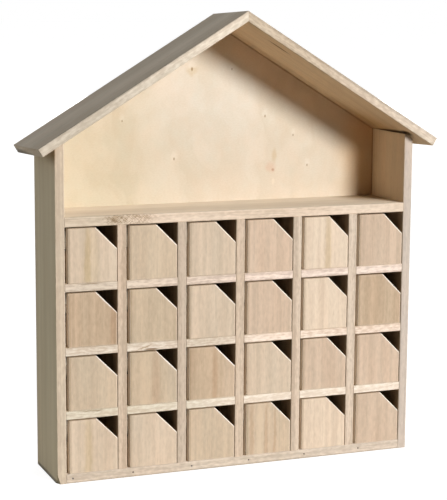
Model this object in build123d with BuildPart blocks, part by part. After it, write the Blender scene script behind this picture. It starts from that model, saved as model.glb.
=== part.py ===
from build123d import *
import os
from math import cos, radians, sin, tan

# A house-shaped wooden advent calendar. A cross-lapped grid of boards holds a field of small
# pull-out drawers, and above it a gable roof covers an open attic. Millimetres, +Z up, front
# towards -Y, origin at the middle of the footprint on the table.

# Drawer field
COLUMNS = 6
ROWS = 4
CELL_WIDTH = 51.0
CELL_HEIGHT = 53.0

# Case boards
CASE_BOARD = 9.0
SHELF_BOARD = 8.0
BACK_PLY = 3.0
CASE_DEPTH = 70.0
ATTIC_WALL = 63.5

# Cross-lap joints between the dividers and the row shelves
LAP_CLEARANCE = 0.1

# Roof: the boards lean back a little, so a thin wedge stays open over the front of the sides
ROOF_BOARD = 8.5
ROOF_SLOPE = 31.4
ROOF_LEAN = 2.3
EAVE_REACH = 19.2
FRONT_REACH = 15.0
REAR_REACH = 3.4

# Drawers: loose boxes that stand against the right of their cells
FRONT_BOARD = 6.0
DRAWER_WALL = 4.0
DRAWER_FLOOR = 3.0
DRAWER_WALL_HEIGHT = 29.0
FINGER_CUT = 20.5
LEFT_GAP = 3.1
RIGHT_GAP = 0.3
TOP_GAP = 1.4
REAR_GAP = 2.5
FRONT_RECESS = 0.5

# Pins in the front edge of the bottom board
PIN_DIAMETER = 1.6
PIN_LENGTH = 12.0
PIN_SINK = 0.3
PIN_INSET = 6.0
PIN_CLEARANCE = 0.05

# Sanded edges, and the corner worn off the left front foot
EASE = 0.5
FOOT_WEAR_WIDTH = 3.0
FOOT_WEAR_DEPTH = 6.0
FOOT_WEAR_HEIGHT = 10.0

# Widths, worked out from the cells
COLUMN_PITCH = CELL_WIDTH + CASE_BOARD
INNER_WIDTH = COLUMNS * COLUMN_PITCH - CASE_BOARD
INNER_X = INNER_WIDTH / 2
OUTER_X = INNER_X + CASE_BOARD
CELL_LEFTS = [column * COLUMN_PITCH - INNER_X for column in range(COLUMNS)]
DIVIDER_LEFTS = [left + CELL_WIDTH for left in CELL_LEFTS[:-1]]

# Depths: the boards run from the front plane to the plywood back
FRONT_Y = -(CASE_DEPTH + BACK_PLY) / 2
PLY_Y = FRONT_Y + CASE_DEPTH
REAR_Y = PLY_Y + BACK_PLY
CASE_MID_Y = (FRONT_Y + PLY_Y) / 2

# Heights, from the table up
ROW_PITCH = CELL_HEIGHT + SHELF_BOARD
FIELD_HEIGHT = ROWS * ROW_PITCH - SHELF_BOARD
FIELD_MID_Z = CASE_BOARD + FIELD_HEIGHT / 2
ATTIC_Z = CASE_BOARD + FIELD_HEIGHT
SIDE_TOP = ATTIC_Z + CASE_BOARD + ATTIC_WALL
CELL_FLOORS = [ATTIC_Z - CELL_HEIGHT - row * ROW_PITCH for row in range(ROWS)]
SHELF_FLOORS = [floor - SHELF_BOARD for floor in CELL_FLOORS[:-1]]

# Roof lines: the underside rests on the rear edge of the gable and rises towards the front
RISE = tan(radians(ROOF_SLOPE))
LEAN_RISE = tan(radians(ROOF_LEAN))
GABLE_Z = SIDE_TOP + OUTER_X * RISE
ROOF_FRONT_Y = FRONT_Y - FRONT_REACH
ROOF_DEPTH = REAR_Y + REAR_REACH - ROOF_FRONT_Y
RIDGE_UNDER_Z = GABLE_Z + (REAR_Y - ROOF_FRONT_Y) * LEAN_RISE
RIDGE_TOP_Z = RIDGE_UNDER_Z + ROOF_BOARD / cos(radians(ROOF_SLOPE))
EAVE_X = OUTER_X + EAVE_REACH
EAVE_TOP_Z = RIDGE_TOP_Z - EAVE_X * RISE

# Drawer depths
DRAWER_FACE_Y = FRONT_Y + FRONT_RECESS
DRAWER_INNER_Y = DRAWER_FACE_Y + FRONT_BOARD
DRAWER_REAR_Y = PLY_Y - REAR_GAP


def upright_plane(y):
    """Vertical plane at depth y, drawn as seen from the front; a negative extrude goes back."""
    return Plane.XZ.offset(-y)


def save(piece, name):
    """Label a finished piece and write it under the same name."""
    piece.label = name
    export_step(piece, f"parts/{name}.step")


os.makedirs("parts", exist_ok=True)

# Side panels: full height, tops bevelled to the roof slope; the plane of the worn foot faces out
WEAR_TOP = Vector(-OUTER_X, FRONT_Y, FOOT_WEAR_HEIGHT)
WEAR_INSIDE = Vector(FOOT_WEAR_WIDTH - OUTER_X, FRONT_Y, 0)
WEAR_REAR = Vector(-OUTER_X, FRONT_Y + FOOT_WEAR_DEPTH, 0)
WEAR_NORMAL = (WEAR_REAR - WEAR_TOP).cross(WEAR_INSIDE - WEAR_TOP)
FOOT_WEAR_PLANE = Plane(origin=WEAR_TOP, x_dir=WEAR_INSIDE - WEAR_TOP, z_dir=WEAR_NORMAL)
for name, side in (("left_side", -1), ("right_side", 1)):
    with BuildPart() as side_panel:
        with BuildSketch(upright_plane(FRONT_Y)):
            with BuildLine():
                Polyline(
                    (side * OUTER_X, 0),
                    (side * INNER_X, 0),
                    (side * INNER_X, SIDE_TOP + CASE_BOARD * RISE),
                    (side * OUTER_X, SIDE_TOP),
                    close=True,
                )
            make_face()
        extrude(amount=-CASE_DEPTH)
        chamfer(side_panel.edges().filter_by(Axis.Z).group_by(Axis.Y)[0], EASE)
        if name == "left_side":
            split(bisect_by=FOOT_WEAR_PLANE, keep=Keep.BOTTOM)
    save(side_panel.part, name)

# Bottom board between the sides, with blind holes for the pins
PIN_PLACES = [(left + PIN_INSET, CASE_BOARD / 2) for left in CELL_LEFTS]
with BuildPart() as bottom_board:
    with BuildSketch(Plane.XY):
        with Locations((0, CASE_MID_Y)):
            Rectangle(INNER_WIDTH, CASE_DEPTH)
    extrude(amount=CASE_BOARD)
    chamfer(bottom_board.edges().filter_by(Axis.X).group_by(Axis.Y)[0], EASE)
    with BuildSketch(upright_plane(FRONT_Y)):
        with Locations(*PIN_PLACES):
            Circle(PIN_DIAMETER / 2 + PIN_CLEARANCE)
    extrude(amount=-PIN_LENGTH, mode=Mode.SUBTRACT)
save(bottom_board.part, "bottom_board")

# Pins, sunk just under the surface and seated on the ends of their holes
with BuildPart() as bottom_pins:
    with BuildSketch(upright_plane(FRONT_Y + PIN_SINK)):
        with Locations(*PIN_PLACES):
            Circle(PIN_DIAMETER / 2)
    extrude(amount=PIN_SINK - PIN_LENGTH)
save(bottom_pins.part, "bottom_pins")

# Attic floor between the sides, over the drawer field
with BuildPart() as attic_floor:
    with BuildSketch(Plane.XY.offset(ATTIC_Z)):
        with Locations((0, CASE_MID_Y)):
            Rectangle(INNER_WIDTH, CASE_DEPTH)
    extrude(amount=CASE_BOARD)
    chamfer(attic_floor.edges().filter_by(Axis.X).group_by(Axis.Y)[0], EASE)
save(attic_floor.part, "attic_floor")

# Upright dividers: whole at the front, slotted from the rear for the shelves
with BuildPart() as column_dividers:
    for left in DIVIDER_LEFTS:
        with BuildSketch(Plane.YZ.offset(left)):
            with Locations((CASE_MID_Y, FIELD_MID_Z)):
                Rectangle(CASE_DEPTH, FIELD_HEIGHT)
            for floor in SHELF_FLOORS:
                with Locations(((CASE_MID_Y + PLY_Y) / 2, floor + SHELF_BOARD / 2)):
                    Rectangle(CASE_DEPTH / 2, SHELF_BOARD + 2 * LAP_CLEARANCE, mode=Mode.SUBTRACT)
        extrude(amount=CASE_BOARD)
    chamfer(column_dividers.edges().filter_by(Axis.Z).group_by(Axis.Y)[0], EASE)
save(column_dividers.part, "column_dividers")

# Row shelves: slotted from the front, so they pass behind the faces of the dividers
LAP_DEPTH = CASE_DEPTH / 2 + LAP_CLEARANCE
for number, floor in enumerate(SHELF_FLOORS, start=1):
    with BuildPart() as row_shelf:
        with BuildSketch(Plane.XY.offset(floor)):
            with Locations((0, CASE_MID_Y)):
                Rectangle(INNER_WIDTH, CASE_DEPTH)
            for left in DIVIDER_LEFTS:
                with Locations((left + CASE_BOARD / 2, FRONT_Y + LAP_DEPTH / 2)):
                    Rectangle(CASE_BOARD + 2 * LAP_CLEARANCE, LAP_DEPTH, mode=Mode.SUBTRACT)
        extrude(amount=SHELF_BOARD)
        chamfer(row_shelf.edges().filter_by(Axis.X).group_by(Axis.Y)[0], EASE)
    save(row_shelf.part, f"row_shelf_{number}")

# Plywood back, cut to the outline of the house
with BuildPart() as back_panel:
    with BuildSketch(upright_plane(PLY_Y)):
        with BuildLine():
            Polyline(
                (-OUTER_X, 0),
                (OUTER_X, 0),
                (OUTER_X, SIDE_TOP),
                (0, GABLE_Z),
                (-OUTER_X, SIDE_TOP),
                close=True,
            )
        make_face()
    extrude(amount=-BACK_PLY)
save(back_panel.part, "back_panel")

# Roof boards: mitred upright at the ridge, square at the eaves, drawn out along the leaning ridge
RIDGE_RUN = (0, cos(radians(ROOF_LEAN)), -sin(radians(ROOF_LEAN)))
EAVE_CUT_X = ROOF_BOARD * sin(radians(ROOF_SLOPE))
EAVE_CUT_Z = ROOF_BOARD * cos(radians(ROOF_SLOPE))
for name, side in (("roof_left", -1), ("roof_right", 1)):
    with BuildPart() as roof_board:
        with BuildSketch(upright_plane(ROOF_FRONT_Y)):
            with BuildLine():
                Polyline(
                    (0, RIDGE_UNDER_Z),
                    (0, RIDGE_TOP_Z),
                    (side * EAVE_X, EAVE_TOP_Z),
                    (side * (EAVE_X - EAVE_CUT_X), EAVE_TOP_Z - EAVE_CUT_Z),
                    close=True,
                )
            make_face()
        extrude(amount=ROOF_DEPTH / cos(radians(ROOF_LEAN)), dir=RIDGE_RUN)
        front_edges = roof_board.edges().group_by(Axis.Y)[0]
        chamfer(front_edges.sort_by(Axis.X)[::side][1:], EASE)
    save(roof_board.part, name)

# Drawers, numbered from the top left: a front with its finger cut, and a low box behind it
for row, floor in enumerate(CELL_FLOORS):
    for column, cell_left in enumerate(CELL_LEFTS):
        number = row * COLUMNS + column + 1
        left = cell_left + LEFT_GAP
        right = cell_left + CELL_WIDTH - RIGHT_GAP
        top = floor + CELL_HEIGHT - TOP_GAP
        middle_x = (left + right) / 2
        inner_width = right - left - 2 * DRAWER_WALL

        with BuildPart() as drawer_front:
            with BuildSketch(upright_plane(DRAWER_FACE_Y)):
                with BuildLine():
                    Polyline(
                        (left, floor),
                        (right, floor),
                        (right, top - FINGER_CUT),
                        (right - FINGER_CUT, top),
                        (left, top),
                        close=True,
                    )
                make_face()
            extrude(amount=-FRONT_BOARD)
            chamfer(drawer_front.edges().group_by(Axis.Y)[0], EASE)
        save(drawer_front.part, f"drawer_{number:02d}_front")

        with BuildPart() as drawer_sides:
            with BuildSketch(Plane.XY.offset(floor)):
                with Locations((middle_x, (DRAWER_INNER_Y + DRAWER_REAR_Y) / 2)):
                    with GridLocations(inner_width + DRAWER_WALL, 0, 2, 1):
                        Rectangle(DRAWER_WALL, DRAWER_REAR_Y - DRAWER_INNER_Y)
            extrude(amount=DRAWER_WALL_HEIGHT)
        with BuildPart() as drawer_back:
            with BuildSketch(Plane.XY.offset(floor)):
                with Locations((middle_x, DRAWER_REAR_Y - DRAWER_WALL / 2)):
                    Rectangle(inner_width, DRAWER_WALL)
            extrude(amount=DRAWER_WALL_HEIGHT)
        with BuildPart() as drawer_floor:
            with BuildSketch(Plane.XY.offset(floor)):
                with Locations((middle_x, (DRAWER_INNER_Y + DRAWER_REAR_Y - DRAWER_WALL) / 2)):
                    Rectangle(inner_width, DRAWER_REAR_Y - DRAWER_WALL - DRAWER_INNER_Y)
            extrude(amount=DRAWER_FLOOR)
        walls = drawer_sides.solids() + drawer_back.solids() + drawer_floor.solids()
        save(Compound(children=walls), f"drawer_{number:02d}_box")

print("house", 2 * EAVE_X, "wide", ROOF_DEPTH, "deep", RIDGE_TOP_Z, "high")
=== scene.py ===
# %% [markdown]
# This is a house-shaped advent calendar of raw, sanded paulownia with a plywood back. The boards,
# the pins and the 24 drawers come from the solid model as fixed pieces that already have their true
# shapes, so this lesson is mostly about their looks: wood that is solid all the way through, a few
# brads in the back, a floor, soft light and a camera. Loading the model first puts every board in
# its place, in metres.

# %% Load the boards
import math

import bpy
from mathutils import Matrix, Vector


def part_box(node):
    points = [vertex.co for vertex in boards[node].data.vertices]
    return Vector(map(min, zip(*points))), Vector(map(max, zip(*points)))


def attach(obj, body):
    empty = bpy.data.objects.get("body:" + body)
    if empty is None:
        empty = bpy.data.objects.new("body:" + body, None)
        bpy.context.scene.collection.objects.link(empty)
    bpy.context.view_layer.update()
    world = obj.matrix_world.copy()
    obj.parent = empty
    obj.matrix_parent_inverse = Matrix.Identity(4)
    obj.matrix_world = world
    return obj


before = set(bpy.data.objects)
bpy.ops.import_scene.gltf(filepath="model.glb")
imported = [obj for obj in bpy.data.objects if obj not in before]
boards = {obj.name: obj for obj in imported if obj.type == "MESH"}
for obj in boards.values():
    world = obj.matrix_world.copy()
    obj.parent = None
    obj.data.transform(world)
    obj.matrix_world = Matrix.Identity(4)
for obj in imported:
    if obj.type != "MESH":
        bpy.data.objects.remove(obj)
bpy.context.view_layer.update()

# %% [markdown]
# A material is a small graph, and most of its lines only add a node, set its values and plug it
# in. A few helpers keep that readable. `put` adds a node and takes its inputs by name or number,
# where an input is either a value or another node's output. The others do the same for one kind of
# node each: `sums` for a sum, `vectors` for a sum of vectors, `measure` for a length or a dot
# product, `noise` for a noise, `spans` for a change of range and `blend` for a mix of two colours.

# %% Helpers for nodes
def put(tree, kind, inputs=None, **settings):
    node = tree.nodes.new(kind)
    for name, value in settings.items():
        setattr(node, name, value)
    for socket, value in (inputs or {}).items():
        if isinstance(value, bpy.types.NodeSocket):
            tree.links.new(value, node.inputs[socket])
        else:
            node.inputs[socket].default_value = value
    return node


def sums(tree, operation, first, second=0.0, third=0.0):
    return put(tree, "ShaderNodeMath", {0: first, 1: second, 2: third}, operation=operation).outputs[0]


def vectors(tree, operation, first, second=(0.0, 0.0, 0.0)):
    return put(tree, "ShaderNodeVectorMath", {0: first, 1: second}, operation=operation).outputs[0]


def measure(tree, operation, first, second=(0.0, 0.0, 0.0)):
    node = put(tree, "ShaderNodeVectorMath", {0: first, 1: second}, operation=operation)
    return node.outputs["Value"]


def noise(tree, place, scale, detail):
    return put(tree, "ShaderNodeTexNoise", {"Vector": place, "Scale": scale, "Detail": detail}).outputs


def spans(tree, value, low, high, to_low=0.0, to_high=1.0, ease="LINEAR"):
    inputs = {"Value": value, "From Min": low, "From Max": high, "To Min": to_low, "To Max": to_high}
    return put(tree, "ShaderNodeMapRange", inputs, interpolation_type=ease).outputs["Result"]


def blend(tree, share, first, second, way="MIX"):
    node = put(tree, "ShaderNodeMix", {0: share, 6: first, 7: second}, data_type="RGBA", blend_type=way)
    return node.outputs[2]


print("helpers for nodes ready")

# %% [markdown]
# Effects that many boards share are node groups, so that each is drawn once. `new_group` starts one
# with its named inputs and outputs, and `use` puts it into a graph. `swayed` moves a place to and
# fro by the colour of a noise, which is how a straight line becomes a grown one. Colours are written
# as three numbers, and `opaque` adds the fourth that a node asks for.

# %% Helpers for shared effects
VALUE = "NodeSocketFloat"
COLOUR = "NodeSocketColor"
VECTOR = "NodeSocketVector"


def new_group(name, inputs, outputs):
    group = bpy.data.node_groups.new(name, "ShaderNodeTree")
    for label, kind, value in inputs:
        socket = group.interface.new_socket(label, in_out="INPUT", socket_type=kind)
        if value is not None:
            socket.default_value = value
    for label, kind in outputs:
        group.interface.new_socket(label, in_out="OUTPUT", socket_type=kind)
    entry = group.nodes.new("NodeGroupInput").outputs
    leave = group.nodes.new("NodeGroupOutput").inputs
    return group, entry, leave


def use(tree, group, inputs):
    return put(tree, "ShaderNodeGroup", inputs, node_tree=group)


def swayed(tree, place, wind, size):
    centred = vectors(tree, "SUBTRACT", wind["Color"], (0.5, 0.5, 0.5))
    pushed = put(tree, "ShaderNodeVectorMath", {0: centred, "Scale": size}, operation="SCALE")
    return vectors(tree, "ADD", place, pushed.outputs[0])


def opaque(colour):
    return (*colour, 1.0)


print("helpers for groups ready")

# %% [markdown]
# Paulownia is a pale, light wood with wide growth rings, long soft fibres and short open pores.
# A flat picture of planks would break at every corner, so the grain here is a solid: each point
# of space lies somewhere in a trunk whose pith runs along Z. A board sawn from that trunk then shows
# long streaks on its faces and dots on its ends by itself. No trunk is straight, so a wide wobble
# and a fine ripple sway it first. The distance from the pith, counted in rings, is the year.

# %% The trunk and its years
TREE_SHAPE = [("Ring Width", VALUE, 0.006), ("Wobble", VALUE, 0.004), ("Ripple", VALUE, 0.001)]
FIGURES = ("Bands", "Lines", "Fibre", "Pores", "Clouds", "Mottle", "Drift")
grain, entry, leave = new_group(
    "Paulownia grain", [("Vector", VECTOR, None), *TREE_SHAPE], [(name, VALUE) for name in FIGURES],
)
LONG_STRETCH = (1.0, 1.0, 0.16)
SWAYS = {"Wobble": (LONG_STRETCH, 22.0), "Ripple": ((1.0, 1.0, 0.3), 130.0)}
ACROSS = (1.0, 1.0, 0.0)
trunk = entry["Vector"]
for size, (stretch, scale) in SWAYS.items():
    stretched = vectors(grain, "MULTIPLY", entry["Vector"], stretch)
    trunk = swayed(grain, trunk, noise(grain, stretched, scale, 2.0), entry[size])
pith = measure(grain, "LENGTH", vectors(grain, "MULTIPLY", trunk, ACROSS))
year = sums(grain, "DIVIDE", pith, entry["Ring Width"])
print("trunk:", len(grain.nodes), "nodes")

# %% [markdown]
# The figure is several noises over one another, each spread so that its usual range fills 0 to 1.
# Noise along the years gives the broad bands, and the end of each year is a thin line of late wood.
# Noise stretched along Z gives the fibres, shorter noise the pores. The clouds, the fine mottle and
# the slow drift of the hue lie over all of it.

# %% Figure of the grain
FIBRE_SIZE = (900.0, 900.0, 16.0)
PORE_SIZE = (1500.0, 1500.0, 110.0)
SPECK_STRETCH = (1.0, 1.0, 0.4)
ELSEWHERE = (3.0, 7.0, 1.0)
LATE_WOOD = 7.0
fibres = vectors(grain, "MULTIPLY", trunk, FIBRE_SIZE)
pores = vectors(grain, "MULTIPLY", trunk, PORE_SIZE)
along = vectors(grain, "MULTIPLY", entry["Vector"], LONG_STRETCH)
specks = vectors(grain, "MULTIPLY", entry["Vector"], SPECK_STRETCH)
rings = put(grain, "ShaderNodeTexNoise", {"W": year, "Scale": 0.9, "Detail": 3.0}, noise_dimensions="1D")
spreads = {
    "Bands": (rings.outputs, 0.32, 0.68),
    "Fibre": (noise(grain, fibres, 1.0, 3.0), 0.3, 0.7),
    "Pores": (noise(grain, pores, 1.0, 1.0), 0.62, 0.72),
    "Clouds": (noise(grain, along, 45.0, 2.0), 0.3, 0.7),
    "Mottle": (noise(grain, specks, 420.0, 3.0), 0.33, 0.67),
    "Drift": (noise(grain, vectors(grain, "ADD", along, ELSEWHERE), 70.0, 2.0), 0.3, 0.7),
}
for name, (figure, faint, strong) in spreads.items():
    grain.links.new(spans(grain, figure["Fac"], faint, strong), leave[name])
lines = sums(grain, "POWER", sums(grain, "FRACT", year), LATE_WOOD)
grain.links.new(lines, leave["Lines"])
print("grain group:", len(grain.nodes), "nodes")

# %% [markdown]
# On the real boards the bands and fibres only shift the tone between a pale and a deeper tan, the
# hue drifts a little between warm and cool, and the pores are small brown dashes. This second group
# turns the grain into what a shader needs: colours, a roughness and a height for the bump. A planed
# face shows the long figure alone, while a sawn edge is speckled as well, so the group puts out one
# colour for each. Each board sets its own pale and deep tones.

# %% Board tone
tone, entry, leave = new_group(
    "Board tone",
    [
        ("Vector", VECTOR, None), ("Pale", COLOUR, None), ("Deep", COLOUR, None), *TREE_SHAPE,
        ("Band Depth", VALUE, 0.8), ("Line Depth", VALUE, 0.15), ("Fibre Depth", VALUE, 0.5),
        ("Pore Depth", VALUE, 0.2), ("Cloud Depth", VALUE, 0.6), ("Mottle Depth", VALUE, 0.5),
    ],
    [("Planed", COLOUR), ("Sawn", COLOUR), ("Roughness", VALUE), ("Height", VALUE)],
)
PORE_BROWN = (0.34, 0.22, 0.12)
WARMER, COOLER = (1.012, 0.994, 0.985), (0.988, 1.006, 1.015)
MIDDLE = 0.5
names = ("Vector", "Ring Width", "Wobble", "Ripple")
figure = use(tone, grain, {name: entry[name] for name in names}).outputs
depth = sums(tone, "MULTIPLY_ADD", figure["Lines"], entry["Line Depth"], MIDDLE)
for part, share in (("Bands", "Band Depth"), ("Fibre", "Fibre Depth"), ("Clouds", "Cloud Depth")):
    offset = sums(tone, "SUBTRACT", figure[part], MIDDLE)
    depth = sums(tone, "MULTIPLY_ADD", offset, entry[share], depth)
offset = sums(tone, "SUBTRACT", figure["Mottle"], MIDDLE)
speckled = sums(tone, "MULTIPLY_ADD", offset, entry["Mottle Depth"], depth)
dashes = sums(tone, "MULTIPLY", figure["Pores"], entry["Pore Depth"])
hue = blend(tone, figure["Drift"], opaque(WARMER), opaque(COOLER))
for finish, shown in (("Planed", depth), ("Sawn", speckled)):
    streaked = blend(tone, spans(tone, shown, 0.0, 1.0), entry["Pale"], entry["Deep"])
    dashed = blend(tone, dashes, streaked, opaque(PORE_BROWN))
    tone.links.new(blend(tone, 1.0, dashed, hue, "MULTIPLY"), leave[finish])
print("colours:", len(tone.nodes), "nodes")

# %% [markdown]
# Raw wood is never glossy, and its deeper bands are the softer, rougher ones. Fibres and the hard
# late wood stand up a little under a fingertip, and the pores sink in.

# %% Roughness and relief of the tone
SMOOTHEST, ROUGHEST = 0.58, 0.74
PORES_SINK, LINES_RISE = -0.8, 0.4
raised = sums(tone, "MULTIPLY_ADD", figure["Pores"], PORES_SINK, figure["Fibre"])
tone.links.new(spans(tone, depth, 0.0, 1.0, SMOOTHEST, ROUGHEST), leave["Roughness"])
tone.links.new(sums(tone, "MULTIPLY_ADD", figure["Lines"], LINES_RISE, raised), leave["Height"])
print("tone group:", len(tone.nodes), "nodes")

# %% [markdown]
# Sandpaper takes the sharp edge off every board and leaves paler, slightly fuzzy wood there. A
# Bevel node gives the normal of a softly rounded corner. Where that normal leaves the flat face's
# own normal there is an edge, so one node gives both the soft highlight and the mask of the wear.

# %% Sanded edges
EDGE_RADIUS, EDGE_WEAR = 0.0009, 0.35
sanded, entry, leave = new_group(
    "Sanded edges",
    [("Radius", VALUE, EDGE_RADIUS), ("Colour", COLOUR, None), ("Paler", VALUE, EDGE_WEAR)],
    [("Colour", COLOUR), ("Normal", VECTOR)],
)
FUZZY = (0.93, 0.82, 0.67)
STILL_FLAT, FULL_EDGE = 0.995, 0.86
rounded = put(sanded, "ShaderNodeBevel", {"Radius": entry["Radius"]}, samples=6).outputs[0]
flat = put(sanded, "ShaderNodeNewGeometry").outputs["Normal"]
edge = spans(sanded, measure(sanded, "DOT_PRODUCT", rounded, flat), STILL_FLAT, FULL_EDGE)
worn = sums(sanded, "MULTIPLY", edge, entry["Paler"])
sanded.links.new(blend(sanded, worn, entry["Colour"], opaque(FUZZY)), leave["Colour"])
sanded.links.new(rounded, leave["Normal"])
print("edge group:", len(sanded.nodes), "nodes")

# %% [markdown]
# Wood has accidents: a pin knot, a darker heart streak, a bruise on an edge. They are all the same
# thing, a soft spot round a place, long or round by its reach in each direction, with a wavering
# outline. The same spot also lays painted shade, painted shadow and a painted highlight on some
# boards. One group puts out that spot as a mask, and the board's colour is multiplied by a tint
# there, so the grain runs on through the mark. In this lesson a mark is written as its place, its
# reach and its tint, and where needed how far its outline sways, the tilt that lays it along a
# sloping board, and the waver, which breaks the outline up more finely.

# %% Marks in the wood
WAVER = 120.0
FULL_WITHIN = 0.3
mark, entry, leave = new_group(
    "Mark",
    [
        ("Vector", VECTOR, None), ("Place", VECTOR, None), ("Reach", VECTOR, None),
        ("Sway", VALUE, 0.001), ("Waver", VALUE, WAVER),
    ],
    [("Mask", VALUE)],
)
moved = swayed(mark, entry["Vector"], noise(mark, entry["Vector"], entry["Waver"], 3.0), entry["Sway"])
from_place = vectors(mark, "SUBTRACT", moved, entry["Place"])
away = measure(mark, "LENGTH", vectors(mark, "DIVIDE", from_place, entry["Reach"]))
mark.links.new(spans(mark, away, 1.0, FULL_WITHIN, ease="SMOOTHSTEP"), leave["Mask"])


def leaning(tree, place, where, angle):
    inputs = {"Vector": place, "Center": where, "Angle": angle}
    return put(tree, "ShaderNodeVectorRotate", inputs, rotation_type="Y_AXIS").outputs[0]


def stain_and_painted_light(tree, place, colour, where, reach, tint, sway=0.0, tilt=0.0, waver=WAVER):
    if tilt:
        place = leaning(tree, place, where, tilt)
    inputs = {"Vector": place, "Place": where, "Reach": reach, "Sway": sway, "Waver": waver}
    spot = use(tree, mark, inputs)
    return blend(tree, spot.outputs["Mask"], colour, opaque(tint), "MULTIPLY")


print("mark group:", len(mark.nodes), "nodes")

# %% [markdown]
# Round a knot in a sawn edge the fibres stand up in crossing strokes, like feathers. They are noise
# drawn out along two leaning lines, and they show only where the knot's own mask lets them.

# %% Feathers round a knot
FEATHER_LEAN = 0.7
FEATHER_SIZE = (230.0, 500.0, 1000.0)
STROKE_STARTS, STROKE_FULL = 0.5, 0.62


def feathers(tree, place, colour, where, mask, tint):
    for lean in (FEATHER_LEAN, -FEATHER_LEAN):
        drawn = vectors(tree, "MULTIPLY", leaning(tree, place, where, lean), FEATHER_SIZE)
        strokes = spans(tree, noise(tree, drawn, 1.0, 2.0)["Fac"], STROKE_STARTS, STROKE_FULL)
        shown = sums(tree, "MULTIPLY", strokes, mask)
        colour = blend(tree, shown, colour, opaque(tint), "MULTIPLY")
    return colour


print("feather strokes per metre:", FEATHER_SIZE)

# %% [markdown]
# `outer` tints the planed faces of a board and `inner` the faces that look along `inward`, while the
# sawn edge at the front keeps the plain tone. On the side panels, the attic floor, the dividers and
# the roof boards these tints are painted light and painted shade: they lighten, darken and warm
# whole faces by how the light falls on them. On the drawer fronts `inner` browns the end grain.
# `calm` takes figure away from the planed faces. The direction in which a face looks is its normal,
# so one material can tell the faces of a board apart.

# %% Colours of a board's faces
LOOKS_INWARD = (0.55, 0.68)
LOOKS_FORWARD = (-0.6, -0.8)


def face_colours(tree, wood, middle_tone, calm, outer, inner, inward):
    normal = put(tree, "ShaderNodeNewGeometry").outputs["Normal"]
    planed = blend(tree, calm, wood["Planed"], opaque(middle_tone))
    faced = blend(tree, 1.0, planed, opaque(outer), "MULTIPLY")
    if inner is not None:
        looks = spans(tree, measure(tree, "DOT_PRODUCT", normal, inward), *LOOKS_INWARD)
        faced = blend(tree, looks, faced, blend(tree, 1.0, planed, opaque(inner), "MULTIPLY"))
    forward = put(tree, "ShaderNodeSeparateXYZ", {0: normal}).outputs["Y"]
    return blend(tree, spans(tree, forward, *LOOKS_FORWARD), faced, wood["Sawn"])


print("faces look inward from", LOOKS_INWARD[0], "and forward from", -LOOKS_FORWARD[0])

# %% [markdown]
# Every board material is the same short chain: the board's own coordinates are turned so that Z
# follows its grain and moved to a spot in the trunk, then tone, marks, sanded edges, bump and shader.
# `turn` is the Mapping node's rotation and `cut` the spot in the trunk, so two boards with
# different cuts never show the same streaks. `squeeze` shortens the figure along an axis, `rounding`
# is the radius of the sanded edges and `paler` says how much lighter they are. A `knot` is a place, a
# reach, how wild the grain runs there, and the tint of its feathers. A `shift` gives each of many
# equal pieces its own cut, as the drawers need later. Raw fibres throw light back to where it came
# from, which the shader calls diffuse roughness.

# %% A board's material
BUMP = {"Strength": 0.25, "Distance": 0.0002}
RAW_WOOD = {"Specular IOR Level": 0.1, "Diffuse Roughness": 0.35}
KNOT_SWAY = 0.002


def board_material(
    name, pale, deep, turn, cut, outer=(1, 1, 1), inner=None, inward=(0, 0, 0), calm=0.0, marks=(),
    shift=None, shifted_marks=(), knot=None, paler=EDGE_WEAR, rounding=EDGE_RADIUS, squeeze=(1, 1, 1),
    **grain_values,
):
    material = bpy.data.materials.new(name)
    material.use_nodes = True
    tree = material.node_tree
    tree.nodes.clear()
    place = put(tree, "ShaderNodeTexCoord").outputs["Object"]
    in_trunk = place
    if shift is not None:
        jumped = use(tree, shift, {"Vector": place}).outputs
        in_trunk = jumped["Vector"]
    inputs = {"Vector": in_trunk, "Location": cut, "Rotation": turn, "Scale": squeeze}
    turned = put(tree, "ShaderNodeMapping", inputs).outputs[0]
    wood = use(tree, tone, {"Vector": turned, "Pale": opaque(pale), "Deep": opaque(deep), **grain_values})
    middle_tone = [(light + dark) / 2 for light, dark in zip(pale, deep)]
    colour = face_colours(tree, wood.outputs, middle_tone, calm, outer, inner, inward)
    if knot is not None:
        where, reach, wildness, tint = knot
        inputs = {"Vector": place, "Place": where, "Reach": reach, "Sway": KNOT_SWAY}
        eye = use(tree, mark, inputs).outputs["Mask"]
        wild = sums(tree, "MULTIPLY_ADD", eye, wildness, wood.inputs["Ripple"].default_value)
        tree.links.new(wild, wood.inputs["Ripple"])
        colour = feathers(tree, place, colour, where, eye, tint)
    for spot in marks:
        colour = stain_and_painted_light(tree, place, colour, *spot)
    for spot in shifted_marks:
        colour = stain_and_painted_light(tree, jumped["Within"], colour, *spot)
    edges = use(tree, sanded, {"Radius": rounding, "Colour": colour, "Paler": paler}).outputs
    inputs = {"Height": wood.outputs["Height"], "Normal": edges["Normal"]}
    bump = put(tree, "ShaderNodeBump", {**inputs, **BUMP}).outputs[0]
    inputs = {"Base Color": edges["Colour"], "Roughness": wood.outputs["Roughness"], "Normal": bump}
    shader = put(tree, "ShaderNodeBsdfPrincipled", {**inputs, **RAW_WOOD}).outputs[0]
    put(tree, "ShaderNodeOutputMaterial", {"Surface": shader})
    return material


def dress(material, *names):
    for name in names:
        boards[name].data.materials.clear()
        boards[name].data.materials.append(material)
    print(material.name, "on", len(names), "pieces")


print("board material ready, bump", BUMP["Distance"], "m")
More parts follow.
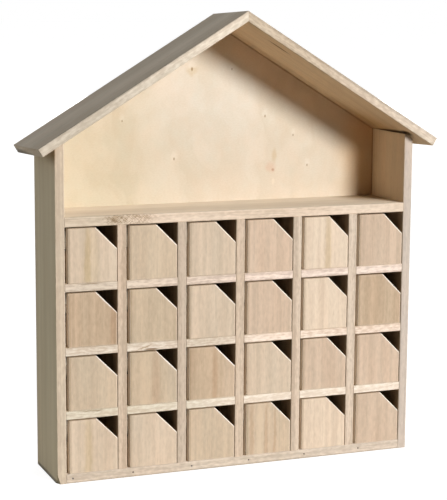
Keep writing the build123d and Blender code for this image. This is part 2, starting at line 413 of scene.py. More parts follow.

# %% [markdown]
# The two side panels stand with their grain upright. Their faces are quiet, and only long faint
# streaks show. Each panel gets its own cut, because two boards never match. The left one has a
# painted shade along its foot, where it meets the table, and a brown painted shadow under the eave.
# Its outer face is tinted greener, painted shade for a face the key light misses, and its inner face
# is lightened, painted light for the attic and the gap beside the first column of drawers. The
# inside of the right one is lightened too, painted light for the attic wall, and low down beside the
# drawers it is much darker, painted shade for the walls of the cells.

# %% Side panels
UPRIGHT = (0.0, 0.0, 0.0)
LEFT_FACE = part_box("left_side")[0].x
UNDER_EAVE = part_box("left_side")[1].z - 0.006
RIGHT_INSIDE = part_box("right_side")[0].x
# Painted shade along the foot of the left panel, where it meets the table.
painted_foot_shade = ((LEFT_FACE, 0.0, 0.0), (0.004, 0.1, 0.0050), (0.36, 0.36, 0.37), 0.0006)
# Painted shadow under the eave, on the top front of the left panel's outer face.
painted_eave_shadow = ((LEFT_FACE, -0.030, UNDER_EAVE), (0.0015, 0.045, 0.0180), (0.62, 0.53, 0.41))
left_board = board_material(
    "left side board", (0.76, 0.645, 0.50), (0.61, 0.50, 0.38), UPRIGHT, (0.05, 0.09, 0.3),
    # outer: painted shade on the outer face; inner: painted light on the inner face.
    outer=(1.05, 1.10, 1.0), inner=(1.28, 1.32, 1.38), inward=(1, 0, 0), calm=0.55,
    marks=[painted_foot_shade, painted_eave_shadow],
    **{"Ripple": 0.0015, "Mottle Depth": 0.6},
)
# Painted shade on the lower inside of the right panel, the walls of the cells beside the drawers.
painted_cell_shade = [
    ((RIGHT_INSIDE - 0.002, 0.0, height), (0.004, 0.2, 0.1), (0.375, 0.325, 0.275))
    for height in (0.045, 0.12, 0.19)
]
right_board = board_material(
    "right side board", (0.705, 0.605, 0.515), (0.57, 0.49, 0.42), UPRIGHT, (0.11, 0.05, 1.1),
    # inner: painted light on the inside of the right panel.
    outer=(1.02, 1.05, 1.0), inner=(1.33, 1.23, 1.01), inward=(-1, 0, 0), marks=painted_cell_shade,
    **{"Ripple": 0.0015, "Band Depth": 0.35, "Fibre Depth": 0.45, "Cloud Depth": 0.3, "Mottle Depth": 0.5},
)
dress(left_board, "left_side")
dress(right_board, "right_side")

# %% [markdown]
# The floor boards of the case lie with their grain from side to side, so their front edges show
# long level streaks, broken and wavy where the saw ran across them. A painted shade darkens the foot
# of the bottom board where it meets the table, and its right half is a little paler.

# %% Bottom board
SIDEWAYS = (0.0, math.radians(90), 0.0)
FRONT_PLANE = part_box("left_side")[0].y
# Painted shade along the foot of the bottom board.
painted_foot_shade_line = ((0.0, FRONT_PLANE, 0.0), (0.5, 0.02, 0.0019), (0.70, 0.67, 0.62), 0.0008)
paler_half = ((0.16, 0.0, 0.0), (0.16, 0.2, 0.1), (1.03, 1.05, 1.08), 0.01)
bottom_board = board_material(
    "bottom board", (0.81, 0.69, 0.565), (0.60, 0.50, 0.395), SIDEWAYS, (0.04, 0.06, 0.2), paler=0.1,
    marks=[painted_foot_shade_line, paler_half],
    **{"Ripple": 0.003, "Band Depth": 0.7, "Fibre Depth": 0.6, "Mottle Depth": 0.7},
)
dress(bottom_board, "bottom_board")

# %% [markdown]
# The attic floor is also the floor of the open room under the roof, so its top shows as well as its
# front edge. That edge has a small feathery knot near its left end, where the wood is darker. A
# brown painted shadow of the right side lies in the far right corner of the top. The top is
# lightened, painted light, and the underside darkened, painted shade.

# %% Attic floor
low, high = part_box("attic_floor")
darker_end = ((-0.150, FRONT_PLANE, low.z + 0.005), (0.055, 0.01, 0.03), (0.87, 0.88, 0.86), 0.006)
# Painted shadow: the right side's shadow in the far right corner of the top.
painted_corner_shadow = ((0.167, 0.034, high.z), (0.05, 0.06, 0.01), (0.45, 0.37, 0.28), 0.004)
smear_place = (-0.1265, FRONT_PLANE, low.z + 0.0062)
knot_smear = (smear_place, (0.0060, 0.005, 0.0036), (0.80, 0.74, 0.66), 0.006, 0.9)
knot_place = (-0.113, FRONT_PLANE, low.z + 0.006)
feathery_knot = (knot_place, (0.034, 0.01, 0.012), 0.014, (0.70, 0.63, 0.55))
attic_board = board_material(
    "attic board", (0.885, 0.735, 0.59), (0.68, 0.545, 0.41), SIDEWAYS, (0.02, 0.08, 0.9),
    # outer: painted light on the top; inner: painted shade on the underside.
    outer=(1.01, 1.065, 1.08), inner=(0.85, 0.78, 0.68), inward=(0, 0, -1), calm=0.5,
    marks=[darker_end, painted_corner_shadow, knot_smear], knot=feathery_knot,
    **{"Ripple": 0.0025, "Band Depth": 0.6, "Fibre Depth": 0.6, "Mottle Depth": 0.6},
)
dress(attic_board, "attic_floor")

# %% [markdown]
# The row shelves are the palest boards of the house, with some heartwood towards their left ends.
# Each carries a short dark line in its front edge, and the second a small knot beside it. They are
# alike in size, so one loop makes them, each with its own tones, cut and marks. A mark here starts
# with its place along the shelf and its rise over the shelf's lower edge.

# %% Row shelves
SHELVES = {
    1: ((0.965, 0.82, 0.71), (0.72, 0.58, 0.485), (0.86, 0.86, 0.81)),
    2: ((0.975, 0.845, 0.72), (0.76, 0.60, 0.47), (0.89, 0.93, 0.93)),
    3: ((0.985, 0.89, 0.775), (0.82, 0.70, 0.57), (0.82, 0.83, 0.78)),
}
SHELF_MARKS = {
    1: [
        (-0.151, 0.0069, (0.016, 0.004, 0.0007), (0.55, 0.48, 0.4), 0.0008),
        (-0.150, 0.0040, (0.035, 0.1, 0.05), (0.93, 0.93, 0.92), 0.02),
    ],
    2: [
        (-0.0910, 0.0011, (0.0095, 0.004, 0.0017), (0.45, 0.36, 0.28), 0.0012),
        (-0.0980, 0.0032, (0.0120, 0.004, 0.0010), (0.72, 0.64, 0.55), 0.0030, 0.35, 260.0),
        (-0.030, 0.0040, (0.045, 0.1, 0.05), (0.88, 0.87, 0.84), 0.02),
    ],
    3: [(-0.150, 0.0070, (0.018, 0.004, 0.0012), (0.62, 0.55, 0.47), 0.004)],
}
for number, (pale, deep, heartwood) in SHELVES.items():
    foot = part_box(f"row_shelf_{number}")[0].z
    heart = ((-0.19, 0.0, foot), (0.24, 0.2, 0.2), heartwood, 0.02)
    spots = [((x, FRONT_PLANE, foot + rise), *rest) for x, rise, *rest in SHELF_MARKS[number]]
    cut = (0.013 * number, 0.05 + 0.017 * number, 0.7 * number)
    shelf_board = board_material(
        f"shelf board {number}", pale, deep, SIDEWAYS, cut, outer=(0.72, 0.67, 0.56), marks=[heart, *spots],
        **{"Ring Width": 0.0045, "Band Depth": 0.9, "Ripple": 0.005, "Fibre Depth": 0.7, "Mottle Depth": 1.0},
    )
    dress(shelf_board, f"row_shelf_{number}")

# %% [markdown]
# The five upright dividers are one node. They are a little rosier than the shelves, and since the
# trunk is solid, each of the five gets different streaks from its place alone. The second from the
# left is a darker board, the fourth and fifth are paler ones. Their right faces are lightened,
# painted light for the gaps beside the drawers, and their left faces darkened, painted shade for the
# cells seen through the finger cuts.

# %% Dividers
WHOLE_BOARD = (0.02, 0.3, 0.4)
darker_second = ((-0.059, 0.0, 0.12), WHOLE_BOARD, (0.88, 0.90, 0.92))
paler_fourth = ((0.06, 0.0, 0.12), WHOLE_BOARD, (1.03, 1.06, 1.09))
paler_fifth = ((0.118, 0.0, 0.12), WHOLE_BOARD, (1.04, 1.07, 1.11))
divider_board = board_material(
    "divider board", (0.74, 0.60, 0.465), (0.57, 0.445, 0.33), UPRIGHT, (0.03, 0.06, 0.5),
    # outer: painted light on the right faces; inner: painted shade on the left faces.
    outer=(1.22, 1.26, 1.28), inner=(0.68, 0.61, 0.52), inward=(-1, 0, 0),
    marks=[darker_second, paler_fourth, paler_fifth],
    **{"Ripple": 0.003, "Fibre Depth": 0.6, "Mottle Depth": 0.8},
)
dress(divider_board, "column_dividers")

# %% [markdown]
# The roof boards run with their grain from the ridge down to the eaves. Their accidents are placed
# first, and tilted by the slope of the roof where they lie along a board. A painted shade darkens
# the lower edge of the left board's eave. The right one has a short crack in its underside, a brown
# corner at its eave, and a dark slit where it sits on the side panel and no light gets in.

# %% Marks on the roof boards
SLOPE = math.radians(31.4)
ROOF_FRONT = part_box("roof_left")[0].y
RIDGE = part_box("roof_left")[1].z
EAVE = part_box("roof_right")[1].x
SLIT_BROWN = (0.35, 0.30, 0.24)
# Painted shade along the lower edge of the left eave.
painted_eave_shade = ((-0.1993, 0.030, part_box("roof_left")[0].z), (0.008, 0.085, 0.0066), (0.32, 0.31, 0.30), 0.001)
crack = ((0.0395, -0.0331, 0.4088), (0.018, 0.003, 0.0006), (0.42, 0.34, 0.26), 0.0006, -SLOPE)
browned = ((0.185, 0.030, 0.3175), (0.09, 0.08, 0.0075), (0.69, 0.59, 0.46), 0.0, -SLOPE)
slit = [
    ((0.1790, -0.0345, 0.3240), (0.0075, 0.012, 0.006), SLIT_BROWN),
    ((0.1775, -0.0050, 0.3237), (0.0055, 0.045, 0.005), SLIT_BROWN),
]
print("ridge", round(RIDGE, 4), "eave", round(EAVE, 4))

# %% [markdown]
# The tops of the roof boards are tinted grey, painted shade for faces the key light barely reaches,
# and their undersides warm brown, painted shade in the attic that on the right board is lifted a
# little, painted light. Their sawn front edges are speckled, and darker and greyer along the top.
# The left one is palest at the ridge, the right one towards its eave, so each gets a darker far end.
# The two are mirrored, so the graph is turned by the slope once for each side.

# %% Roof boards
HALF_WAY = (EAVE / 2, RIDGE - EAVE / 2 * math.tan(SLOPE))
TOP_BAND_GREY = (0.78, 0.77, 0.76)
ROOFS = {
    "roof_left": {
        "side": 1, "pale": (0.97, 0.875, 0.745), "deep": (0.77, 0.67, 0.54),
        "outer": (0.774, 0.744, 0.690), "inner": (0.81, 0.67, 0.51), "far_end": (-0.20, 0.32),
        "darker": (0.79, 0.78, 0.76), "spread": 0.20, "top_band": 0.0016, "marks": [painted_eave_shade],
    },
    "roof_right": {
        "side": -1, "pale": (0.905, 0.79, 0.66), "deep": (0.705, 0.59, 0.468),
        "outer": (0.75, 0.731, 0.686), "inner": (1.09, 0.98, 0.795), "far_end": (0.0, RIDGE),
        "darker": (0.83, 0.785, 0.72), "spread": 0.22, "top_band": 0.0032, "marks": [crack, browned, *slit],
    },
}
for name, roof in ROOFS.items():
    side = roof["side"]
    x, z = roof["far_end"]
    heart = ((x, ROOF_FRONT, z), (roof["spread"], 0.004, roof["spread"]), roof["darker"])
    top_edge = (-side * HALF_WAY[0], ROOF_FRONT, HALF_WAY[1])
    grey_top_band = (top_edge, (0.2, 0.004, roof["top_band"]), TOP_BAND_GREY, 0.001, side * SLOPE)
    down_the_slope = (0.0, side * (math.pi / 2 + SLOPE), 0.0)
    roof_board = board_material(
        f"{name} board", roof["pale"], roof["deep"], down_the_slope, (0.06 * side, 0.07, 0.4),
        # outer: painted shade on the tops; inner: painted shade on the undersides, lifted on the right board.
        outer=roof["outer"], inner=roof["inner"], inward=(0, 0, -1), paler=0.15,
        marks=[heart, grey_top_band, *roof["marks"]],
        **{"Ripple": 0.003, "Band Depth": 0.5, "Fibre Depth": 0.5, "Cloud Depth": 0.4, "Mottle Depth": 1.0},
    )
    dress(roof_board, name)

# %% [markdown]
# The back is thin plywood. Its edges show the darker middle ply. The sheet has yellowed towards the
# left and is palest in the middle of the gable, and it has one rosy knot with a pale scar under it.
# Where the right side and the right roof board shade it, a painted shadow makes it warmer and
# browner, and painted shade darkens the right corner and the corners under the roof, where the roof
# boards lean back a little.

# %% Marks in the plywood
ROOF_THICKNESS = 0.0085
ROOF_LEAN = math.radians(2.3)
GABLE_HALF_WAY = 0.0875
low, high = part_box("back_panel")
GABLE_TOP = RIDGE - ROOF_THICKNESS / math.cos(SLOPE) - (low.y - ROOF_FRONT) * math.tan(ROOF_LEAN)


def under_roof(reach):
    return GABLE_TOP - reach * math.tan(SLOPE)


middle_ply = ((0.0, (low.y + high.y) / 2, 0.2), (9.0, 0.0009, 9.0), (0.74, 0.67, 0.58))
yellowed = ((-0.19, low.y, 0.27), (0.19, 0.1, 0.2), (0.905, 0.905, 0.835))
pale_middle = ((-0.005, low.y, 0.355), (0.085, 0.1, 0.065), (1.034, 1.07, 1.12), 0.03)
# Painted shadow: warms and browns the plywood where the right side shades it.
painted_shadow_right = ((0.176, low.y, 0.30), (0.05, 0.0028, 0.10), (1.02, 0.86, 0.67))
# Painted shadow: warms the plywood in the shadow under the right roof board.
painted_shadow_under_roof = ((0.0825, low.y, under_roof(0.0955)), (0.15, 0.0028, 0.026), (1.13, 1.02, 0.94), 0.0, -SLOPE)
knot_shade = ((-0.0248, low.y, 0.3850), (0.0085, 0.01, 0.0055), (0.93, 0.88, 0.78), 0.008)
rosy_knot = [
    ((0.0600, low.y, 0.2865), (0.0075, 0.01, 0.0080), (0.99, 0.89, 0.85), 0.006),
    ((0.0630, low.y, 0.2838), (0.0022, 0.01, 0.0022), (0.78, 0.64, 0.58), 0.002),
    ((0.0640, low.y, 0.2985), (0.0040, 0.01, 0.0100), (0.93, 0.87, 0.77), 0.006),
    ((0.0633, low.y, 0.2717), (0.0022, 0.01, 0.0050), (1.08, 1.09, 1.10), 0.002),
]
# Painted shade: a dark line in the corner beside the right side.
painted_corner_shade = ((RIGHT_INSIDE, low.y, 0.2900), (0.0020, 0.004, 0.0700), (0.70, 0.60, 0.50), 0.0006)
ply_marks = [middle_ply, yellowed, pale_middle, painted_shadow_right, painted_shadow_under_roof, knot_shade, *rosy_knot, painted_corner_shade]
# Painted shade: a dark line under each roof board, where it meets the plywood.
for side in (-1, 1):
    half_way = (side * GABLE_HALF_WAY, low.y, under_roof(GABLE_HALF_WAY))
    ply_marks.append((half_way, (0.2, 0.004, 0.0020), (0.72, 0.62, 0.52), 0.001, -side * SLOPE))
print("marks in the plywood:", len(ply_marks))

# %% [markdown]
# The faces of plywood are a sheet peeled from a turning log, so they show broad, cloudy, warm cream
# figure. That figure is squeezed along the height to make it cloudy instead of streaked. A few pin
# knots are scattered over the front, each a dark dot in a paler eye that reaches above it, and a few
# plain ones over the rear.

# %% Plywood back
PIN_KNOTS = [
    (-0.0248, 0.3861, 1.5), (-0.0971, 0.3365, 0.9), (-0.0434, 0.2979, 1.1), (0.0537, 0.3383, 1.1),
    (0.0848, 0.3184, 0.9), (0.0175, 0.3857, 0.9), (0.1009, 0.2874, 1.0),
]
REAR_KNOTS = [
    (-0.11, 0.09, 1.6), (0.06, 0.17, 1.0), (0.13, 0.24, 1.3), (-0.04, 0.31, 0.9), (0.02, 0.05, 0.8),
]
DARK_DOT = (0.56, 0.45, 0.33)
PALE_EYE = (1.05, 1.07, 1.10)
EYE_RISE = 0.003
for x, z, size in PIN_KNOTS:
    eye_reach = (0.004 * size, 0.003, 0.006 * size)
    ply_marks.append(((x, low.y, z + EYE_RISE), eye_reach, PALE_EYE, 0.006))
    ply_marks.append(((x, low.y, z), (0.0010 * size, 0.002, 0.0019 * size), DARK_DOT, 0.0006))
for x, z, size in REAR_KNOTS:
    ply_marks.append(((x, high.y, z), (0.0016 * size, 0.002, 0.003 * size), DARK_DOT, 0.0006))
ply = board_material(
    "plywood back", (0.797, 0.702, 0.575), (0.730, 0.627, 0.487), UPRIGHT, (0.4, 0.3, 0.1),
    marks=ply_marks, squeeze=(1, 1, 5),
    **{
        "Ring Width": 0.03, "Wobble": 0.12, "Ripple": 0.006, "Band Depth": 0.6, "Line Depth": 0.05,
        "Fibre Depth": 0.15, "Pore Depth": 0.05, "Cloud Depth": 0.4, "Mottle Depth": 0.5,
    },
)
dress(ply, "back_panel")

# %% [markdown]
# Each drawer front is its own offcut. The drawers stand on a grid, so rounding a point's place
# down to its cell gives one number for each drawer, and white noise turns that number into a jump
# to another spot in the trunk. One material then serves many drawers without two alike. What is left
# after the rounding is the place within the front, from its lower left corner. A small margin keeps
# the edges of a front clear of the lines between the cells.

# %% A different cut for every drawer
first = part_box("drawer_01_front")[0]
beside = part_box("drawer_02_front")[0]
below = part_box("drawer_07_front")[0]
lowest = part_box("drawer_19_front")[0]
PITCH = (beside.x - first.x, 1.0, first.z - below.z)
MARGIN = 0.004
JUMPS = (0.5, 0.12, 4.0)
outputs = [("Vector", VECTOR), ("Within", VECTOR)]
cells, entry, leave = new_group("Cut for each drawer", [("Vector", VECTOR, None)], outputs)
moved = vectors(cells, "ADD", entry["Vector"], (MARGIN - lowest.x, 0.0, MARGIN - lowest.z))
counted = vectors(cells, "DIVIDE", moved, PITCH)
cell = vectors(cells, "FLOOR", vectors(cells, "MULTIPLY", counted, (1.0, 0.0, 1.0)))
chance = put(cells, "ShaderNodeTexWhiteNoise", {"Vector": cell}, noise_dimensions="3D").outputs["Color"]
jump = vectors(cells, "MULTIPLY", chance, JUMPS)
cells.links.new(vectors(cells, "ADD", entry["Vector"], jump), leave["Vector"])
stepped = vectors(cells, "MULTIPLY", cell, PITCH)
own_corner = vectors(cells, "ADD", stepped, (MARGIN, 0.0, MARGIN))
cells.links.new(vectors(cells, "SUBTRACT", moved, own_corner), leave["Within"])
print("drawer pitch", round(PITCH[0], 4), round(PITCH[2], 4))

# %% [markdown]
# The fronts fall into six tones, from cream to tan, as boards from different trees would. Seven of
# them also show streaks, mostly of darker heartwood. Each streak is given by its distance from the
# left of the front, its half width and its tint.

# %% Tones of the drawer fronts
FRONT_TONES = {
    "cream": ((0.855, 0.71, 0.555), (0.715, 0.58, 0.445), (5, 11, 23)),
    "straw": ((0.76, 0.62, 0.475), (0.62, 0.505, 0.38), (1, 3, 9, 16, 19, 20)),
    "rosy": ((0.74, 0.575, 0.435), (0.60, 0.465, 0.345), (4, 6, 10, 17, 18, 24)),
    "honey": ((0.715, 0.575, 0.42), (0.575, 0.46, 0.335), (2, 13, 21, 22)),
    "fawn": ((0.677, 0.541, 0.388), (0.543, 0.43, 0.305), (8, 14)),
    "tan": ((0.655, 0.50, 0.35), (0.525, 0.395, 0.27), (7, 12, 15)),
}
OLIVE = (0.90, 0.87, 0.78)
RUST = (0.90, 0.84, 0.80)
HEART_STREAKS = {
    1: [(0.0190, 0.0046, OLIVE), (0.0225, 0.0110, (1.01, 1.0, 0.95))],
    5: [(0.0262, 0.0050, OLIVE)],
    7: [(0.0435, 0.0045, RUST)],
    14: [(0.0263, 0.0060, (0.94, 0.89, 0.87)), (0.0460, 0.0150, (1.06, 1.08, 1.11))],
    15: [(0.0270, 0.0040, RUST), (0.0430, 0.0120, (1.08, 1.10, 1.14))],
    19: [(0.0190, 0.0062, OLIVE)],
    22: [(0.0060, 0.0035, RUST), (0.0215, 0.0030, RUST), (0.0310, 0.0022, RUST)],
}
print("tones", len(FRONT_TONES), "streaked fronts", len(HEART_STREAKS))

# %% [markdown]
# The grain of a front stands upright, so its top and its finger cut are end grain, which drinks
# light and looks much browner, while the freshly sawn long edges are paler than the face. A painted
# highlight runs pale along the finger cut, and a painted shade darkens the left edge. Both are
# placed within the front, so they come out right on every drawer.

# %% Drawer fronts
FRESH = (0.95, 0.84, 0.71)
FINGER_CUT = 0.0205
DOWN_THE_CUT = math.radians(-45)
STREAK_RISE = 0.012
low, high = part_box("drawer_01_front")
cut_middle = (high.x - low.x - FINGER_CUT / 2, low.y, high.z - low.z - FINGER_CUT / 2)
# Painted shade along the left edge of every front.
painted_edge_shade = ((0.0008, low.y, 0.0), (0.0020, 0.0009, 0.5), (0.83, 0.80, 0.75), 0.0004)


def front_board(name, pale, deep, streaks=()):
    fresh = [sawn / face for sawn, face in zip(FRESH, pale)]
    # Painted highlight along the finger cut.
    painted_cut_highlight = (cut_middle, (0.03, 0.004, 0.0019), fresh, 0.0004, DOWN_THE_CUT)
    return board_material(
        name, pale, deep, UPRIGHT, (0.02, 0.04, 0.0), outer=fresh, inner=(0.70, 0.62, 0.53),
        inward=(0, 0, 1), marks=streaks, shift=cells, shifted_marks=[painted_cut_highlight, painted_edge_shade],
        paler=0.5, rounding=0.0016,
        **{
            "Band Depth": 0.55, "Fibre Depth": 0.25, "Pore Depth": 0.15, "Line Depth": 0.1,
            "Ripple": 0.0018, "Mottle Depth": 0.5,
        },
    )


for label, (pale, deep, numbers) in FRONT_TONES.items():
    plain = [f"drawer_{number:02d}_front" for number in numbers if number not in HEART_STREAKS]
    dress(front_board(f"{label} drawer front", pale, deep), *plain)
    for number in [number for number in numbers if number in HEART_STREAKS]:
        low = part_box(f"drawer_{number:02d}_front")[0]
        streaks = [
            ((low.x + inset, low.y, low.z + STREAK_RISE), (width, 0.05, 0.07), tint, 0.004)
            for inset, width, tint in HEART_STREAKS[number]
        ]
        streaked_board = front_board(f"{label} drawer front {number}", pale, deep, streaks)
        dress(streaked_board, f"drawer_{number:02d}_front")

# %% [markdown]
# The boxes behind the fronts are thin boards of the same wood, with the grain from front to rear.
# They take their cuts from the same grid as the fronts, so no two boxes match either.

# %% Drawer boxes
DRAWERS = range(1, 25)
BACKWARDS = (math.radians(90), 0.0, 0.0)
box_board = board_material(
    "drawer box board", (0.66, 0.53, 0.38), (0.50, 0.39, 0.27), BACKWARDS, (0.03, 0.05, 0.0), shift=cells,
)
dress(box_board, *[f"drawer_{number:02d}_box" for number in DRAWERS])

# %% [markdown]
# Six steel pins sit just under the surface of the bottom board. They have dulled to brown: where a
# noise is high there is rust, which is darker, rougher and no longer metal.

# %% Pins
STEEL, RUSTED = (0.16, 0.15, 0.14), (0.10, 0.055, 0.03)
pin = bpy.data.materials.new("dulled steel pin")
pin.use_nodes = True
tree = pin.node_tree
shader = tree.nodes["Principled BSDF"]
rust = noise(tree, put(tree, "ShaderNodeTexCoord").outputs["Object"], 900.0, 3.0)["Fac"]
spots = spans(tree, rust, 0.4, 0.62)
tree.links.new(blend(tree, spots, opaque(STEEL), opaque(RUSTED)), shader.inputs["Base Color"])
tree.links.new(spans(tree, rust, 0.3, 0.7, 0.4, 0.75), shader.inputs["Roughness"])
tree.links.new(spans(tree, spots, 0.0, 1.0, 0.9, 0.1), shader.inputs["Metallic"])
dress(pin, "bottom_pins")

# %% [markdown]
# From behind, the plywood is held by brads. One head is modelled as by hand: a low cylinder whose
# outer face is inset and drawn in a little, which leaves a rim like the one a punch makes.

# %% One brad head
HEAD_RADIUS, HEAD_HEIGHT = 0.0011, 0.0006
RIM_WIDTH, DISH_DEPTH = HEAD_RADIUS * 0.3, HEAD_HEIGHT * 0.25
FACES_REAR = 0.9
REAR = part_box("back_panel")[1].y
bpy.ops.object.select_all(action="DESELECT")
bpy.ops.mesh.primitive_cylinder_add(
    vertices=20, radius=HEAD_RADIUS, depth=HEAD_HEIGHT, location=(0.0, REAR + HEAD_HEIGHT / 4, 0.0),
    rotation=(math.radians(-90), 0.0, 0.0),
)
brad = bpy.context.object
bpy.ops.object.transform_apply(location=False, rotation=True, scale=True)
bpy.ops.object.mode_set(mode="EDIT")
bpy.ops.mesh.select_mode(type="FACE")
bpy.ops.mesh.select_all(action="DESELECT")
bpy.ops.object.mode_set(mode="OBJECT")
for face in brad.data.polygons:
    face.select = face.normal.y > FACES_REAR
bpy.ops.object.mode_set(mode="EDIT")
bpy.ops.mesh.inset(thickness=RIM_WIDTH)
bpy.ops.transform.translate(value=(0.0, -DISH_DEPTH, 0.0))
bpy.ops.object.mode_set(mode="OBJECT")
print("head faces:", len(brad.data.polygons))

# %% [markdown]
# The brads are driven into the side panels, the bottom board and the attic floor. The head is copied
# along the middle of each of those boards, never quite evenly, as a hand would space them.

# %% Rows of brads
SIDE_HEIGHTS = (0.022, 0.091, 0.163, 0.229, 0.297)
BOTTOM_ROW = (-0.118, -0.041, 0.037, 0.121)
ATTIC_ROW = (-0.122, -0.038, 0.043, 0.117)
UNEVEN, UNEVEN_TURN = 0.0012, 2.4


def middle(node, axis):
    low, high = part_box(node)
    return (low[axis] + high[axis]) / 2


brad_places = [(middle(side, 0), z) for side in ("left_side", "right_side") for z in SIDE_HEIGHTS]
brad_places += [(x, middle("bottom_board", 2)) for x in BOTTOM_ROW]
brad_places += [(x, middle("attic_floor", 2)) for x in ATTIC_ROW]
heads = []
for count, (x, z) in enumerate(brad_places):
    copy = brad.copy()
    copy.data = brad.data.copy()
    wander = UNEVEN * math.sin(UNEVEN_TURN * count)
    copy.location = (x + wander, brad.location.y, z + 0.5 * wander)
    bpy.context.scene.collection.objects.link(copy)
    heads.append(copy)
print("brads:", len(heads))

# %% [markdown]
# The first head was only the pattern, so it goes. The copies are joined into one piece that rides on
# the house, and they are of the same dulled steel as the pins.

# %% Brads as one piece
bpy.ops.object.select_all(action="DESELECT")
brad.select_set(True)
bpy.context.view_layer.objects.active = brad
bpy.ops.object.delete()
for head in heads:
    head.select_set(True)
bpy.context.view_layer.objects.active = heads[0]
bpy.ops.object.join()
brads = bpy.context.object
brads.name = "back_brads"
bpy.ops.object.transform_apply(location=True, rotation=True, scale=True)
brads.data.materials.clear()
brads.data.materials.append(pin)
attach(brads, "house")
print("brad faces:", len(brads.data.polygons))

# %% [markdown]
# The calendar stands on a white sweep. The floor is a large plane that lights the boards from below
# like white paper, less towards the camera, whose side of the room is dark. To the camera it shows
# as white paper that keeps the soft shadow. A Light Path node tells those two jobs apart, and the
# room needs the same three nodes later, so they are a helper.

# %% Floor
FLOOR_SIZE = 60.0
FRONT_BOUNCE, REAR_BOUNCE = (0.165, 0.15, 0.13), (0.64, 0.59, 0.52)
BOUNCE_STARTS, BOUNCE_FULL = -0.6, 0.0
SHADOW_GREY = (0.35, 0.35, 0.35)
WHITE = (1.0, 1.0, 1.0)
PAPER_GLOW = 0.9


def seen_directly(tree):
    rays = put(tree, "ShaderNodeLightPath").outputs
    shiny = sums(tree, "MAXIMUM", rays["Is Glossy Ray"], rays["Is Transmission Ray"])
    return sums(tree, "MAXIMUM", rays["Is Camera Ray"], shiny)


bpy.ops.object.select_all(action="DESELECT")
bpy.ops.mesh.primitive_plane_add(size=FLOOR_SIZE, location=(0.0, 0.0, 0.0))
floor = bpy.context.object
floor.name = "paper_floor"
paper = bpy.data.materials.new("white paper")
paper.use_nodes = True
tree = paper.node_tree
tree.nodes.clear()
place = put(tree, "ShaderNodeTexCoord").outputs["Object"]
depth_way = put(tree, "ShaderNodeSeparateXYZ", {0: place}).outputs["Y"]
rearward = spans(tree, depth_way, BOUNCE_STARTS, BOUNCE_FULL)
bounce = blend(tree, rearward, opaque(FRONT_BOUNCE), opaque(REAR_BOUNCE))
matte = put(tree, "ShaderNodeBsdfDiffuse", {"Color": bounce}).outputs[0]
shade = put(tree, "ShaderNodeBsdfDiffuse", {"Color": opaque(SHADOW_GREY)}).outputs[0]
glow = put(tree, "ShaderNodeEmission", {"Color": opaque(WHITE), "Strength": PAPER_GLOW}).outputs[0]
white = put(tree, "ShaderNodeAddShader", {0: shade, 1: glow}).outputs[0]
mixed = put(tree, "ShaderNodeMixShader", {0: seen_directly(tree), 1: matte, 2: white}).outputs[0]
put(tree, "ShaderNodeOutputMaterial", {"Surface": mixed})
floor.data.materials.append(paper)
print("floor", FLOOR_SIZE, "m wide")

# %% [markdown]
# The key light stands in front, to the right and a little above, and is wider than it is tall. The
# roof and the right side throw their shadow on the plywood, and the place and the softness of that
# shadow say where such a light stands and how large it looks from the table. A weaker one behind
# lights the plywood back. Each is given by its direction, its strength and half its width and height
# in degrees.

# %% Softboxes
LIGHT_REACH = 6.0
LIGHT_AIM = Vector((0.0, -0.03, 0.22))
SOFTBOXES = {
    "key light": ((0.403, -1.0, 0.296), 3.49, (8.6, 6.4)),
    "back light": ((0.4, 1.0, 0.06), 1.1, (5.0, 5.0)),
}
for name, (way, strength, (half_width, half_height)) in SOFTBOXES.items():
    way = Vector(way).normalized()
    softbox = bpy.data.objects.new(name, bpy.data.lights.new(name, "AREA"))
    softbox.data.shape = "ELLIPSE"
    softbox.data.size = 2 * LIGHT_REACH * math.tan(math.radians(half_width))
    softbox.data.size_y = 2 * LIGHT_REACH * math.tan(math.radians(half_height))
    softbox.data.energy = strength * math.pi * LIGHT_REACH**2
    softbox.location = LIGHT_AIM + way * LIGHT_REACH
    softbox.rotation_euler = way.to_track_quat("Z", "Y").to_euler()
    bpy.context.scene.collection.objects.link(softbox)
    print(name, round(softbox.data.size, 2), "m wide")

# %% [markdown]
# The white walls behind and beside the table send back a soft even light, strongest near the floor,
# and the camera's side of the room stays dark, so the open attic keeps its warm shadow. To the camera
# the room is plain white.

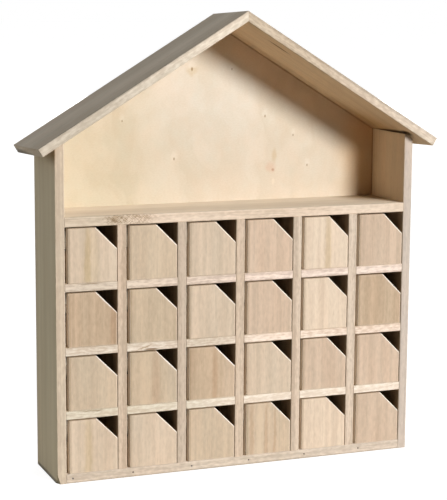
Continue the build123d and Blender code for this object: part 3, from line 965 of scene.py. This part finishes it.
# %% Room
DARK_SIDE, LIT_SIDE, WALL_LEVEL = -0.3, 0.45, 1.45
CEILING_SHARE = 0.14
room = bpy.data.worlds.new("studio room")
bpy.context.scene.world = room
room.use_nodes = True
tree = room.node_tree
tree.nodes.clear()
direction = put(tree, "ShaderNodeTexCoord").outputs["Generated"]
axes = put(tree, "ShaderNodeSeparateXYZ", {0: direction}).outputs
behind = spans(tree, axes["Y"], DARK_SIDE, LIT_SIDE, 0.0, WALL_LEVEL, "SMOOTHSTEP")
level = sums(tree, "MULTIPLY", behind, spans(tree, axes["Z"], 0.0, 1.0, 1.0, CEILING_SHARE))
walls = put(tree, "ShaderNodeBackground", {"Color": opaque(WHITE), "Strength": level}).outputs[0]
backdrop = put(tree, "ShaderNodeBackground", {"Color": opaque(WHITE), "Strength": 1.0}).outputs[0]
both = put(tree, "ShaderNodeMixShader", {0: seen_directly(tree), 1: walls, 2: backdrop}).outputs[0]
put(tree, "ShaderNodeOutputWorld", {"Surface": both})
bpy.context.scene.view_settings.view_transform = "Standard"
print("room ready")

# %% [markdown]
# The photograph was taken from the left of the house, a little above its middle, from about a
# metre and a half away with a short telephoto lens. The picture is taller than wide, so the
# sensor's 36 mm belong to its 500 pixel side.

# %% Camera
CAMERA_PLACE = (-0.56537, -1.42763, 0.45314)
YAW, TILT, ROLL = 0.37502, -0.15731, 0.00693
FOCAL_PIXELS, TALL_PIXELS = 1574.59, 500.0
SENSOR = 36.0
camera = bpy.data.objects.new("camera", bpy.data.cameras.new("camera"))
bpy.context.scene.collection.objects.link(camera)
bpy.context.scene.camera = camera
forward = Vector((math.sin(YAW) * math.cos(TILT), math.cos(YAW) * math.cos(TILT), math.sin(TILT)))
level_right = Vector((math.cos(YAW), -math.sin(YAW), 0.0))
level_up = level_right.cross(forward)
right = level_right * math.cos(ROLL) + level_up * math.sin(ROLL)
up = level_up * math.cos(ROLL) - level_right * math.sin(ROLL)
turned = Matrix((right, up, -forward)).transposed()
camera.matrix_world = Matrix.Translation(CAMERA_PLACE) @ turned.to_4x4()
camera.data.sensor_width = SENSOR
camera.data.lens = FOCAL_PIXELS * SENSOR / TALL_PIXELS
camera.data.dof.use_dof = False
print("lens", round(camera.data.lens, 1), "mm")
